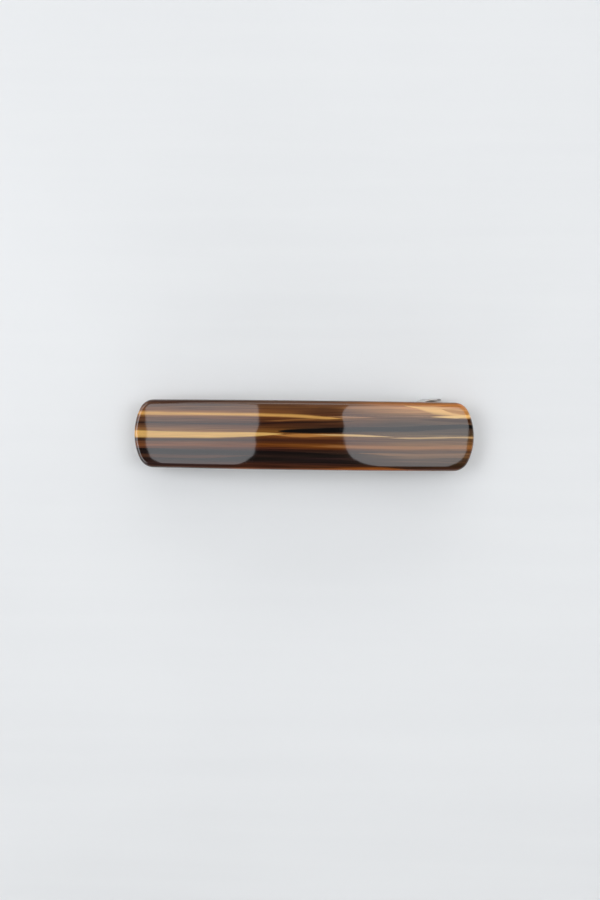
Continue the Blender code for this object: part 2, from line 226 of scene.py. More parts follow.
def grow(name, mesh, tree, sizes):
    """The plain mesh that a tree makes from a mesh and its sizes."""
    seed = bpy.data.objects.new(name + "_seed", mesh)
    bpy.context.scene.collection.objects.link(seed)
    step = seed.modifiers.new("grow", "NODES")
    step.node_group = tree
    for socket in tree.interface.items_tree:
        if socket.in_out == "INPUT" and socket.name in sizes:
            step[socket.identifier] = sizes[socket.name]
    seen = seed.evaluated_get(bpy.context.evaluated_depsgraph_get())
    made = bpy.data.meshes.new_from_object(seen)
    bpy.data.objects.remove(seed)
    return made


def new_material(name):
    made = bpy.data.materials.new(name)
    made.use_nodes = True
    return made, made.node_tree, made.node_tree.nodes["Principled BSDF"]


def surface(tree, shader, colour, rough, height, strength, distance):
    """Link a finish's colour, roughness and bump to its shader."""
    bump = add_node(tree, "Bump", {"Height": height, "Strength": strength, "Distance": distance})
    for name, source in (("Base Color", colour), ("Roughness", rough), ("Normal", bump.outputs[0])):
        tree.links.new(source, shader.inputs[name])


COLOUR_X, COLOUR_Y = 45.0, 9.0

# The sheet's layers, from the front edge to the rear one, at four places along the bar:
# (distance behind the centre line, colour).
LAYERS = {
    # The stops at the front edge, near -9.0, are lighter and warmer: painted glow of light coming
    # through the front edge.
    -33.0: [(-9.0, (98, 62, 30)), (-8.5, (66, 38, 24)), (-8.0, (50, 33, 30)), (-7.3, (44, 26, 20)),
            (-6.4, (22, 14, 11)), (-4.9, (30, 20, 17)), (-4.2, (40, 26, 21)), (-3.6, (78, 45, 27)),
            (-2.9, (110, 64, 34)), (-2.2, (92, 56, 33)), (-1.5, (46, 29, 22)), (-1.1, (96, 60, 32)),
            (1.1, (126, 86, 47)), (1.7, (104, 68, 40)), (2.4, (74, 47, 31)), (2.9, (60, 39, 28)),
            (3.5, (86, 57, 39)), (4.1, (82, 50, 32)), (4.6, (116, 76, 43)), (5.8, (124, 80, 42)),
            (6.5, (96, 61, 36)), (7.4, (80, 53, 37)), (8.3, (70, 46, 35)), (8.8, (60, 38, 28))],
    -9.5: [(-9.0, (106, 63, 31)), (-8.6, (78, 40, 20)), (-8.2, (55, 27, 15)), (-7.6, (63, 33, 21)),
           (-7.0, (34, 20, 16)), (-6.3, (21, 16, 12)), (-5.4, (34, 22, 17)), (-4.6, (29, 18, 15)),
           (-3.8, (46, 22, 15)), (-3.4, (73, 37, 21)), (-2.9, (95, 49, 16)), (-2.3, (93, 50, 16)),
           (-1.8, (72, 38, 18)), (-1.3, (46, 22, 13)), (-0.9, (70, 38, 19)), (-0.4, (112, 62, 25)),
           (1.0, (112, 72, 31)), (1.6, (92, 55, 25)), (2.4, (74, 42, 22)), (2.9, (55, 28, 15)),
           (3.3, (66, 36, 20)), (3.8, (84, 49, 28)), (4.3, (96, 54, 27)), (5.8, (112, 70, 35)),
           (6.4, (96, 59, 33)), (7.0, (85, 53, 30)), (7.9, (88, 58, 38)), (8.8, (76, 54, 42))],
    7.0: [(-9.0, (92, 48, 16)), (-8.6, (78, 40, 15)), (-8.1, (76, 41, 21)), (-7.6, (50, 27, 19)),
          (-7.0, (24, 16, 14)), (-6.4, (30, 20, 18)), (-6.0, (38, 24, 22)), (-5.2, (24, 19, 15)),
          (-4.5, (38, 24, 18)), (-3.9, (46, 25, 16)), (-3.4, (88, 45, 16)), (-2.8, (106, 60, 20)),
          (-2.3, (94, 52, 18)), (-1.8, (70, 36, 17)), (-1.2, (68, 34, 17)), (-0.6, (94, 53, 25)),
          (0.2, (70, 44, 24)), (1.8, (44, 30, 21)), (2.5, (62, 36, 22)), (3.1, (66, 38, 22)),
          (3.8, (84, 52, 28)), (4.3, (104, 66, 34)), (5.2, (72, 40, 23)), (5.8, (80, 49, 30)),
          (6.8, (90, 56, 34)), (7.6, (98, 64, 42)), (8.2, (92, 62, 44)), (8.8, (83, 54, 38))],
    32.0: [(-9.0, (88, 48, 28)), (-8.4, (66, 38, 24)), (-7.7, (46, 29, 17)), (-7.1, (54, 37, 20)),
           (-6.6, (74, 52, 36)), (-5.9, (66, 48, 33)), (-5.4, (96, 68, 42)), (-4.6, (92, 60, 36)),
           (-4.0, (78, 52, 32)), (-3.5, (98, 62, 32)), (-2.6, (122, 82, 42)), (-2.1, (112, 75, 38)),
           (-1.5, (104, 72, 43)), (-0.9, (84, 58, 34)), (0.1, (84, 64, 42)), (0.8, (72, 56, 38)),
           (1.4, (60, 46, 36)), (2.9, (52, 42, 32)), (3.4, (74, 54, 38)), (4.0, (80, 56, 38)),
           (4.5, (82, 56, 36)), (5.2, (112, 78, 50)), (5.9, (136, 96, 56)), (6.6, (166, 118, 72)),
           (7.4, (182, 126, 78)), (8.2, (176, 112, 58)), (8.8, (112, 68, 34))],
}

# Streaks that run through the layers. Each has a centre line and a half width along the bar,
# both as (distance towards the latch end, millimetres), with its colour and how soft its edge is.
STREAKS = {
    "rear_gold": dict(
        centre=[(-45, 5.4), (-38, 5.3), (-23, 5.24), (-9.5, 5.1), (-1, 4.96), (7, 4.48), (12, 4.3)],
        width=[(-45, 0.42), (-20, 0.4), (-4, 0.38), (3, 0.38), (7, 0.28), (11, 0)],
        colour=(190, 142, 76), soft=0.9),
    "rear_gold_branch": dict(
        centre=[(-10, 3.6), (-5, 3.75), (-1, 4.0), (5, 4.3)],
        width=[(-10, 0), (-6, 0.16), (2, 0.2), (5, 0)],
        colour=(124, 80, 42), soft=0.8),
    "rear_seam": dict(
        centre=[(-45, 2.85), (-33, 2.8), (-12, 2.85), (-1, 3.3), (8, 3.55), (14, 3.7)],
        width=[(-45, 0.16), (-20, 0.2), (-4, 0.26), (6, 0.22), (14, 0)],
        colour=(44, 23, 14), soft=0.9),
    "middle_gold": dict(
        centre=[(-45, -0.1), (-38, -0.22), (-24, -0.2), (-14, 0.04), (-9.5, 0.2), (-5, 0.28)],
        width=[(-45, 0.98), (-38, 0.86), (-24, 0.8), (-14, 0.62), (-10, 0.46), (-7, 0.26),
               (-4.5, 0)],
        colour=(200, 158, 90), soft=0.45),
    "rear_gold_tail": dict(
        centre=[(6, 4.9), (10, 4.8), (14, 4.72), (19, 4.75)],
        width=[(6, 0), (10, 0.16), (14, 0.14), (19, 0)],
        colour=(150, 108, 72), soft=0.9),
    "middle_amber": dict(
        centre=[(-9, -0.2), (-1, -0.06), (7, 0.04), (13, 0.02), (18, -0.1)],
        width=[(-7.5, 0), (-3, 0.3), (0, 0.4), (8, 0.34), (13, 0.2), (18, 0)],
        colour=(164, 110, 54), soft=0.6),
    "cream_tail": dict(
        centre=[(2, 0.1), (8, 0.12), (14, 0.06), (19, -0.06), (24, -0.2)],
        width=[(2, 0), (8, 0.18), (15, 0.22), (20, 0.13), (24, 0)],
        colour=(192, 158, 106), soft=0.9),
    "cream": dict(
        centre=[(20, -0.42), (28, -0.4), (35, -0.17), (42, -0.12), (45, -0.2)],
        width=[(22, 0), (27, 0.2), (40, 0.2), (45, 0.26)],
        colour=(170, 138, 94), soft=0.7),
    "black_wedge": dict(
        centre=[(-8, 0.9), (-1, 1.02), (7, 1.27), (16, 1.66), (26, 1.84), (35, 2.32), (42, 2.7),
                (45, 2.5)],
        width=[(-6.5, 0), (-4, 0.38), (0, 0.56), (8, 0.72), (16, 0.64), (30, 0.66), (42, 0.6),
               (45, 0.5)],
        colour=(13, 10, 9), soft=0.5),
    "salmon": dict(
        centre=[(0, -2.6), (7, -2.72), (16, -2.92), (28, -2.98), (35, -2.86), (45, -2.85)],
        width=[(0, 0), (7, 0.3), (20, 0.34), (45, 0.36)],
        colour=(138, 90, 48), soft=0.8),
    "front_gold_thread": dict(
        centre=[(-6, -2.4), (-1, -2.5), (4, -2.6), (10, -2.75)],
        width=[(-6, 0), (-2, 0.16), (5, 0.18), (10, 0)],
        colour=(112, 64, 24), soft=0.9),
    "front_brown_right": dict(
        centre=[(14, -4.5), (22, -4.75), (29, -4.9), (36, -4.78), (45, -4.5)],
        width=[(14, 0), (22, 0.32), (36, 0.38), (42, 0.28), (45, 0.16)],
        colour=(112, 80, 52), soft=0.8),
    "front_brown_left": dict(
        centre=[(-45, -5.9), (-35, -5.95), (-24, -5.8), (-12, -5.5)],
        width=[(-45, 0.5), (-30, 0.44), (-22, 0.36), (-13, 0)],
        colour=(66, 41, 28), soft=0.9),
    "front_black": dict(
        centre=[(-45, -4.1), (-36, -4.5), (-20, -4.6), (0, -4.7), (12, -5.2)],
        width=[(-45, 0.3), (-36, 0.5), (-20, 0.4), (0, 0.3), (12, 0)],
        colour=(18, 12, 10), soft=0.9),
    # Painted glow: a bright amber line along the front edge, standing in for light that comes
    # through the sheet's front edge.
    "front_edge_painted_glow": dict(
        centre=[(-45, -8.8), (-20, -8.75), (0, -8.75), (12, -8.6), (22, -8.5), (32, -8.65),
                (45, -8.7)],
        width=[(-30, 0), (-18, 0.18), (0, 0.26), (12, 0.34), (21, 0.42), (28, 0.14), (45, 0.1)],
        colour=(136, 72, 20), soft=0.9),
    "corner_gold": dict(
        centre=[(26, 8.0), (30, 7.5), (34, 6.9), (39, 6.3), (45, 5.7)],
        width=[(26, 0), (30, 0.3), (34, 0.85), (39, 0.95), (45, 0.8)],
        colour=(216, 168, 102), soft=0.95),
    "corner_amber": dict(
        centre=[(36, 7.2), (40, 6.5), (45, 6.0)],
        width=[(36, 0), (39, 0.5), (45, 0.7)],
        colour=(168, 116, 58), soft=0.95),
    "corner_pale_line": dict(
        centre=[(33, 5.1), (37, 5.15), (41, 5.3), (45, 5.5)],
        width=[(33, 0), (36, 0.14), (40, 0.34), (45, 0.36)],
        colour=(222, 180, 112), soft=0.7),
    "corner_shade": dict(
        centre=[(30, 4.3), (36, 4.3), (41, 4.25), (45, 4.3)],
        width=[(30, 0), (35, 0.32), (41, 0.5), (45, 0.5)],
        colour=(58, 34, 20), soft=0.5),
}


def along_curve(tree, place, points, low, high, straight):
    """A value that follows points along the bar, as a curve between low and high."""
    made = add_node(tree, "FloatCurve", {"Value": place})
    curve = made.mapping.curves[0]
    made.mapping.extend = "HORIZONTAL"
    shares = [((x + COLOUR_X) / (2 * COLOUR_X), (value - low) / (high - low))
              for x, value in points]
    while len(curve.points) < len(shares):
        curve.points.new(0.5, 0.5)
    for point, share in zip(curve.points, shares):
        point.location = share
        point.handle_type = "VECTOR" if straight else "AUTO"
    made.mapping.update()
    return reckon(tree, "MULTIPLY_ADD", made.outputs[0], high - low, low)


def acetate_material():
    made, tree, shader = new_material("streaked_acetate")
    sheet = add_node(tree, "Attribute", attribute_name="sheet").outputs["Vector"]
    x, y, deep = add_node(tree, "SeparateXYZ", {0: sheet}).outputs
    # Layers lean inwards through the sheet, so the edges show them too.
    lean, slant = -0.05, 0.6
    y = reckon(tree, "MULTIPLY", y, reckon(tree, "MULTIPLY_ADD", deep, lean, 1.0))
    # The finest lines are planes that slant through the sheet, so a cut end shows lines too.
    planes = combine(tree, x, reckon(tree, "MULTIPLY_ADD", deep, slant, y))

    def drift(scale, reach, detail=2.0, source=sheet):
        """Noise to either side of zero: wander of the layers, or grain within them."""
        centred = reckon(tree, "SUBTRACT", noise(tree, source, scale, detail), 0.5)
        return reckon(tree, "MULTIPLY", centred, reach)

    y = reckon(tree, "ADD", y, drift((0.045, 0.35, 0.5), 0.55))
    y = reckon(tree, "ADD", y, drift((0.12, 1.6, 0.9), 0.16, 3.0))
    place = reckon(tree, "MULTIPLY_ADD", x, 0.5 / COLOUR_X, 0.5)
    level = reckon(tree, "MULTIPLY_ADD", y, 0.5 / COLOUR_Y, 0.5)
    shifted = reckon(tree, "ADD", x, drift((0.02, 1.1, 0.5), 16.0))

    colour = None
    stations = list(LAYERS)
    for number, (station, stops) in enumerate(LAYERS.items()):
        ramp = add_node(tree, "ValToRGB", {0: level})
        ramp.color_ramp.interpolation = "EASE"
        bands = ramp.color_ramp.elements
        while len(bands) < len(stops):
            bands.new(0.5)
        for band, (height, shade) in zip(bands, stops):
            band.position = (height + COLOUR_Y) / (2 * COLOUR_Y)
            band.color = tint(*shade)
        if colour is None:
            colour = ramp.outputs[0]
        else:
            share = ease(tree, shifted, stations[number - 1], station)
            colour = mix_colour(tree, share, colour, ramp.outputs[0])

    # Hair-fine grain within each layer.
    grain = drift((0.06, 4.5, 0.0), 2.4, 6.0, planes)
    colour = scaled(tree, colour, reckon(tree, "ADD", 1.0, grain))

    for streak in STREAKS.values():
        middle = along_curve(tree, place, streak["centre"], -COLOUR_Y, COLOUR_Y, False)
        half = along_curve(tree, place, streak["width"], 0, 2, True)
        away = reckon(tree, "ABSOLUTE", reckon(tree, "SUBTRACT", y, middle))
        soft = streak["soft"]
        inner = reckon(tree, "MULTIPLY", half, 1 - soft * 0.75)
        outer = reckon(tree, "MULTIPLY_ADD", half, 1 + soft * 0.6, 0.001)
        cover = ease(tree, away, inner, outer, 1.0, 0.0)
        fine = drift((0.1, 7.0, 0.0), 0.9, 4.0, planes)
        body = scaled(tree, tint(*streak["colour"])[:3], reckon(tree, "ADD", 1.0, fine))
        colour = mix_colour(tree, cover, colour, body)

    # Light enters the thin ends and makes them glow warmer.
    share = add_node(tree, "Attribute", attribute_name="share").outputs["Fac"]
    end = ease(tree, reckon(tree, "ABSOLUTE", share), 0.952, 0.968)
    warm = scaled(tree, colour, (1.18, 1.08, 1.0))
    colour = mix_colour(tree, end, colour, warm)

    # The buffed face waves a little, and is very lightly scuffed.
    buffing = noise(tree, sheet, (0.10, 0.16, 0.2), 1.0)
    scuffs = noise(tree, sheet, (0.5, 4.0, 4.0), 5.0)
    rough = add_node(tree, "MapRange", {"Value": scuffs, "To Min": 0.025, "To Max": 0.07})
    surface(tree, shader, colour, rough.outputs["Result"], buffing, 1.0, 0.00006)
    shader.inputs["IOR"].default_value = 1.49
    return made


def bring_in(name, mesh, finish):
    """Put a mesh in the scene, in its finish."""
    mesh.name = name
    made = bpy.data.objects.new(name, mesh)
    bpy.context.scene.collection.objects.link(made)
    mesh.materials.clear()
    mesh.materials.append(finish)
    return made


def place_piece(name, mesh, body, finish, slot, *replaced):
    """Put a finished mesh in the scene, riding on its body in place of its plain solids."""
    piece = bring_in(name, mesh, finish)
    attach(piece, body)
    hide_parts(*replaced)


def bend_tree(finish):
    """Bends a flat sheet to the arch and crowns its face, and keeps each point's flat place."""
    tree, sizes = new_tree("bend_to_arch", ["Arch Radius", "Arch Height", "Centre Y", "Half Width",
                                            "Thickness", "Crown"])
    start = add_node(tree, "GeometryNodeInputPosition").outputs[0]
    x, y, z = add_node(tree, "SeparateXYZ", {0: start}).outputs
    deep = reckon(tree, "MULTIPLY", z, -1.0)
    flat_mm = scaled(tree, combine(tree, x, y, deep), 1 / MM)
    kept = add_node(tree, "GeometryNodeStoreNamedAttribute", {"Geometry": sizes["Geometry"]},
                    data_type="FLOAT_VECTOR", domain="POINT")
    kept.inputs["Name"].default_value = "sheet"
    tree.links.new(flat_mm, kept.inputs["Value"])

    share = reckon(tree, "ABSOLUTE", reckon(tree, "DIVIDE", y, sizes["Half Width"]))
    fall = reckon(tree, "MULTIPLY", sizes["Crown"], reckon(tree, "POWER", share, 4.0))
    faded = reckon(tree, "SUBTRACT", 1.0, reckon(tree, "DIVIDE", deep, sizes["Thickness"]))
    crown = reckon(tree, "MULTIPLY", fall, reckon(tree, "MAXIMUM", faded, 0.0))
    level = reckon(tree, "SUBTRACT", reckon(tree, "SUBTRACT", sizes["Arch Radius"], deep), crown)
    lean = reckon(tree, "ARCSINE", reckon(tree, "DIVIDE", x, sizes["Arch Radius"]))
    bent_x = reckon(tree, "MULTIPLY", level, reckon(tree, "SINE", lean))
    bent_z = reckon(tree, "MULTIPLY", level, reckon(tree, "COSINE", lean))
    bent = combine(tree, bent_x, reckon(tree, "ADD", y, sizes["Centre Y"]),
                   reckon(tree, "ADD", bent_z, sizes["Arch Height"]))
    moved = add_node(tree, "GeometryNodeSetPosition", {"Geometry": kept.outputs[0],
                                                       "Position": bent})
    end_tree(tree, moved.outputs[0], finish)
    return tree


acetate = acetate_material()
bar = grow("polished_bar", flat_bar(), bend_tree(acetate), {
    "Arch Radius": ARCH_RADIUS * MM, "Arch Height": ARCH_Z * MM, "Centre Y": BAR_Y * MM,
    "Half Width": BAR_HALF_WIDTH * MM, "Thickness": SHEET_THICK * MM, "Crown": CROWN * MM})
place_piece("polished_bar", bar, "bar_and_base", acetate, "streaked_acetate", "acetate_bar")

# ----------------------------------------
# Base plate of the clip.
# Stamped from 0.6 mm steel strip, its long edges folded down into flanges and hinge ears, bent
# to the bar's arch and nickel plated. It is pierced for its pins, its rivet and the spring's lugs.
# ----------------------------------------
CLIP_Y = BAR_Y + 1.2
GAP = 0.3
PLATE = 0.6
PLATE_TOP = ARCH_RADIUS - SHEET_THICK - GAP
PLATE_MID = PLATE_TOP - PLATE / 2
PLATE_UNDER = PLATE_TOP - PLATE
WEB_HALF = 3.1
FOLD_R = 0.6
FLANGE_END = 18.0
FLANGE_OPENS = 4.4
PLATE_FROM, PLATE_TO = -39.0, 34.0
LATCH_END_HALF = 3.75
PIN_X, PIN_Z = -35.0, 2.2
PIN_HOLE_R = 1.0
EAR_R, EAR_FOOT_HALF, EAR_FOOT_Z = 2.35, 0.83, 0.02
HINGE_END_PIN_X, LATCH_X, LATCH_END_PIN_X = -36.9, 26.5, 31.5
HOLE_R = 1.1
HOLE_STEPS = 28


def rounded(corners, steps=5):
    """An outline through corners (u, v, radius), each rounded off."""
    points = []
    for i, (u, v, radius) in enumerate(corners):
        here = Vector((u, v))
        back = Vector(corners[i - 1][:2]) - here
        ahead = Vector(corners[(i + 1) % len(corners)][:2]) - here
        reach = min(radius / tan(back.angle(ahead) / 2), back.length * 0.49, ahead.length * 0.49)
        if reach < 0.01:
            points.append(here)
            continue
        first, last = here + back.normalized() * reach, here + ahead.normalized() * reach
        for k in range(steps + 1):
            t = k / steps
            points.append(first * (1 - t) ** 2 + here * 2 * t * (1 - t) + last * t * t)
    return points


HOLE_TURNS = [2 * pi * k / HOLE_STEPS for k in range(HOLE_STEPS)]


def circle(u, v, radius):
    return [Vector((u + radius * cos(a), v + radius * sin(a))) for a in HOLE_TURNS]


def inside(point, loops):
    """Whether a point is within the first loop and outside the holes."""
    u, v = point
    hits = 0
    for loop in loops:
        for a, b in zip(loop, loop[1:] + loop[:1]):
            if (a.y > v) != (b.y > v) and u < a.x + (v - a.y) / (b.y - a.y) * (b.x - a.x):
                hits += 1
    return hits % 2 == 1


def inset(loop, by):
    """A loop moved inwards, which is to the left of its travel."""
    moved = []
    for i, here in enumerate(loop):
        back = (here - loop[i - 1]).normalized()
        ahead = (loop[(i + 1) % len(loop)] - here).normalized()
        way = Vector((-back.y - ahead.y, back.x + ahead.x))
        way = way.normalized() if way.length > 1e-6 else Vector((-back.y, back.x))
        moved.append(here + way * by / max(way.dot(Vector((-back.y, back.x))), 0.5))
    return moved


def stamp(outline, holes, thick, place, pitch=0.6, edge=0.12):
    """Sheet metal: a flat outline with holes, tumbled edges, and each point bent to its place."""
    loops = []
    for number, loop in enumerate([outline, *holes]):
        area = sum(a.x * b.y - b.x * a.y for a, b in zip(loop, loop[1:] + loop[:1]))
        if (area < 0) == (number == 0):
            loop = loop[::-1]
        fine = []
        for a, b in zip(loop, loop[1:] + loop[:1]):
            parts = max(1, ceil((b - a).length / pitch))
            fine += [a.lerp(b, i / parts) for i in range(parts)]
        loops.append(fine)

    tool = bmesh.new()
    flat = tool.verts.layers.float_vector.new("flat")

    def corner(u, v, h):
        made = tool.verts.new(Vector(place(u, v, h)) * MM)
        made[flat] = (u, v, h)
        return made

    half = thick / 2
    round_off = [(edge, half), (edge * 0.3, half - edge * 0.3), (0.0, half - edge)]
    round_off += [(by, -h) for by, h in reversed(round_off)]
    rims = [inset(loop, edge) for loop in loops]
    seats, links, upper, lower = [], [], [], []
    for loop, rim in zip(loops, rims):
        rings = [[corner(p.x, p.y, h) for p in inset(loop, by)] for by, h in round_off]
        for above, below in zip(rings, rings[1:]):
            for i in range(len(loop)):
                tool.faces.new((above[i - 1], below[i - 1], below[i], above[i]))
        start = len(seats)
        seats += rim
        links += [(start + i, start + (i + 1) % len(loop)) for i in range(len(loop))]
        upper += rings[0]
        lower += rings[-1]

    near = kdtree.KDTree(len(seats))
    for i, p in enumerate(seats):
        near.insert((p.x, p.y, 0), i)
    near.balance()
    low = [min(p[k] for p in loops[0]) for k in (0, 1)]
    high = [max(p[k] for p in loops[0]) for k in (0, 1)]
    counts = [ceil((high[k] - low[k]) / pitch) for k in (0, 1)]
    for i in range(1, counts[0]):
        for j in range(1, counts[1]):
            p = Vector([low[k] + (high[k] - low[k]) * n / counts[k] for k, n in ((0, i), (1, j))])
            if near.find((p.x, p.y, 0))[2] > pitch * 0.6 and inside(p, loops):
                seats.append(p)
                upper.append(corner(p.x, p.y, half))
                lower.append(corner(p.x, p.y, -half))

    spots, _, triangles, sources, _, _ = geometry.delaunay_2d_cdt(seats, links, [], 0, 1e-6)
    for triangle in triangles:
        p, q, r = (spots[k] for k in triangle)
        reach = max((p - q).length, (q - r).length, (r - p).length)
        # Slivers along a straight edge have no area in the flat, but would span the bends.
        if abs((q - p).cross(r - p)) > 0.0005 * reach * reach and inside((p + q + r) / 3, rims):
            a, b, c = (sources[k][0] for k in triangle)
            tool.faces.new((upper[a], upper[b], upper[c]))
            tool.faces.new((lower[c], lower[b], lower[a]))
    bmesh.ops.recalc_face_normals(tool, faces=tool.faces)
    mesh = bpy.data.meshes.new("stamping")
    tool.to_mesh(mesh)
    tool.free()
    mesh.shade_smooth()
    return mesh


def on_arch(radius, turn, y):
    return Vector((radius * sin(turn), y, ARCH_Z + radius * cos(turn)))


def plate_u(x):
    """Distance along the plate of a place on its web."""
    return PLATE_MID * asin(x / PLATE_MID)


def plate_flat(x, z, side):
    """Where a place on a flange or an ear lies in the flat blank."""
    drop = PLATE_MID - hypot(x, z - ARCH_Z)
    return PLATE_MID * atan2(x, z - ARCH_Z), side * (WEB_HALF + FOLD_R * pi / 2 + drop - FOLD_R)


def plate_place(u, v, h):
    """Web, fold and flange. Beyond the flange's end the fold opens out flat."""
    side = 1 if v > 0 else -1
    opened = min(max((u - plate_u(FLANGE_END + 0.4)) / FLANGE_OPENS + 1, 0.0), 1.0)
    bend = pi / 2 * (1 - opened * opened * (3 - 2 * opened)) + 0.001
    length = FOLD_R * pi / 2
    curve = bend / length
    past = max(abs(v) - WEB_HALF, 0.0)
    turn = curve * min(past, length)
    rest = max(past - length, 0.0)
    out = min(abs(v), WEB_HALF) + sin(turn) / curve + rest * cos(turn) + h * sin(turn)
    drop = (1 - cos(turn)) / curve + rest * sin(turn) - h * cos(turn)
    return on_arch(PLATE_MID - drop, u / PLATE_MID, CLIP_Y + side * out)


def plate_side(side):
    """One edge of the blank, from the latch end to the hinge end."""
    def ear_round(*turns):
        spots = [(PIN_X + EAR_R * cos(radians(a)), PIN_Z + EAR_R * sin(radians(a))) for a in turns]
        return [(*plate_flat(x, z, side), 0.3) for x, z in spots]

    flange_v = side * (WEB_HALF + FOLD_R * pi / 2 + 0.6)
    edge = [(plate_u(PLATE_TO), side * 1.2, 1.2), (plate_u(PLATE_TO), side * LATCH_END_HALF, 2.2),
            (plate_u(FLANGE_END + 0.8), side * LATCH_END_HALF, 1.6),
            (plate_u(FLANGE_END - 3.6), flange_v, 2.0), (*plate_flat(-28.5, 7.03, side), 1.5)]
    edge += ear_round(-12, -30, -48)
    for x in (EAR_FOOT_HALF, -EAR_FOOT_HALF):
        edge.append((*plate_flat(PIN_X + x, EAR_FOOT_Z, side), 0.3))
    edge += ear_round(-132, -150, -168)
    return edge + [(*plate_flat(-38.5, 4.3, side), 0.5), (plate_u(PLATE_FROM), side * 3.0, 0.6)]


def turned_hole(x, z, radius, side):
    """A round hole through an ear, where it lies in the blank."""
    return [Vector(plate_flat(x + radius * cos(a), z + radius * sin(a), side)) for a in HOLE_TURNS]


def metal(name, colour, dull, bright, grain, tarnish):
    """Plated or tempered steel: rolled grain along the strip, fine scuffs and tarnished clouds."""
    made, tree, shader = new_material(name)
    flat = add_node(tree, "Attribute", attribute_name="flat").outputs["Vector"]
    place = add_node(tree, "TexCoord").outputs["Object"]

    rolled = noise(tree, flat, (0.5, 14.0, 14.0), 4.0)
    cloud = noise(tree, place, (160.0, 160.0, 160.0), 4.0)
    pits = noise(tree, place, (2200.0, 2200.0, 2200.0), 2.0)
    scratches = noise(tree, flat, (0.9, 6.0, 6.0), 8.0)
    scuff = ease(tree, scratches, 0.62, 0.72, 0.0, 0.22)
    rough = reckon(tree, "ADD", ease(tree, rolled, 0.3, 0.7, bright, dull), scuff)
    rough = reckon(tree, "ADD", rough, ease(tree, cloud, 0.45, 0.75, 0.0, 0.1))
    shade = mix_colour(tree, ease(tree, cloud, 0.4, 0.7), tint(*colour), tint(*tarnish))
    shade = scaled(tree, shade, ease(tree, rolled, 0.2, 0.8, 0.86, 1.06))
    height = reckon(tree, "MULTIPLY_ADD", rolled, grain, reckon(tree, "MULTIPLY", pits, 0.3))
    surface(tree, shader, shade, rough, height, 0.6, 0.000003)
    shader.inputs["Metallic"].default_value = 1.0
    return made


nickel = metal("nickel_plate", (214, 209, 198), 0.26, 0.13, 0.7, (188, 180, 166))
blank = rounded(plate_side(1) + plate_side(-1)[::-1])
piercings = [circle(plate_u(x), 0.0, HOLE_R) for x in (HINGE_END_PIN_X, LATCH_X, LATCH_END_PIN_X)]
for side in (1, -1):
    piercings.append(turned_hole(PIN_X, PIN_Z, PIN_HOLE_R, side))
    window = [(-32.7, 5.43), (-30.5, 5.43), (-30.5, 6.63), (-32.7, 6.63)]
    piercings.append(rounded([(*plate_flat(x, z, side), 0.25) for x, z in window]))
place_piece("base_plate", stamp(blank, piercings, PLATE, plate_place, 0.5),
            "bar_and_base", nickel, "nickel_plate", "clip_base")

# ----------------------------------------
# Bow spring.
# A strip of 0.4 mm spring steel, blanked with two lugs that sit in the windows of the ears and
# bowed, so that its crown presses the hair and its free end slides under the base plate.
# ----------------------------------------
SPRING = 0.4
SPRING_R = 140.52
SPRING_CENTRE = (2.41, -130.31)
LUG_X, LUG_HALF, LUG_REACH = -31.6, 0.8, 3.9
SPRING_HALF, SPRING_END = 2.2, 23.5


def spring_u(x):
    return SPRING_R * asin((x - SPRING_CENTRE[0]) / SPRING_R)


def spring_place(u, v, h):
    turn = u / SPRING_R
    level = SPRING_R + h
    return (SPRING_CENTRE[0] + level * sin(turn), CLIP_Y + v, SPRING_CENTRE[1] + level * cos(turn))


def mirrored(half):
    """A whole outline from the half of it at the rear."""
    return rounded(half + [(u, -v, radius) for u, v, radius in reversed(half)])


lug_from, lug_to = spring_u(LUG_X - LUG_HALF), spring_u(LUG_X + LUG_HALF)
half_blank = [(lug_from, LUG_REACH, 0.25), (lug_to, LUG_REACH, 0.25), (lug_to, SPRING_HALF, 0.3),
              (spring_u(SPRING_END), SPRING_HALF, 1.3)]
blank = mirrored(half_blank)
spring_steel = metal("spring_steel", (204, 203, 200), 0.5, 0.38, 0.7, (170, 166, 158))
place_piece("bow_spring_strip", stamp(blank, [], SPRING, spring_place, 0.6, 0.09),
            "bar_and_base", spring_steel, "spring_steel", "bow_spring")

# ----------------------------------------
# Clasp arm.
# Stamped from 0.8 mm steel strip with a long slot, one end curled round the hinge pin, the other
# drawn in to a head that the latch holds and a nose for the thumb, then nickel plated.
# ----------------------------------------
ARM = 0.8
CURL_R = 1.4
CURL_FROM, CURL_TO = radians(12.0), radians(282.6)
ARM_R = 160.0
ARM_CENTRE = (0.208, -155.313)
CURL_LENGTH = CURL_R * (CURL_TO - CURL_FROM)
ARM_START = radians(-12.6)
ARM_HALF, HEAD_HALF, NOSE_HALF = 2.6, 3.0, 2.0
SLOT_FROM, SLOT_TO, SLOT_HALF = -26.0, 16.0, 1.2


def arm_u(x):
    return CURL_LENGTH + ARM_R * (asin((x - ARM_CENTRE[0]) / ARM_R) - ARM_START)


def arm_place(u, v, h):
    """Curled round the pin, then along the arm's own shallow arch. h grows away from the pin."""
    if u < CURL_LENGTH:
        turn = CURL_FROM + u / CURL_R
        return (PIN_X + (CURL_R + h) * cos(turn), CLIP_Y + v, PIN_Z + (CURL_R + h) * sin(turn))
    turn = ARM_START + (u - CURL_LENGTH) / ARM_R
    level = ARM_R - h
    return (ARM_CENTRE[0] + level * sin(turn), CLIP_Y + v, ARM_CENTRE[1] + level * cos(turn))


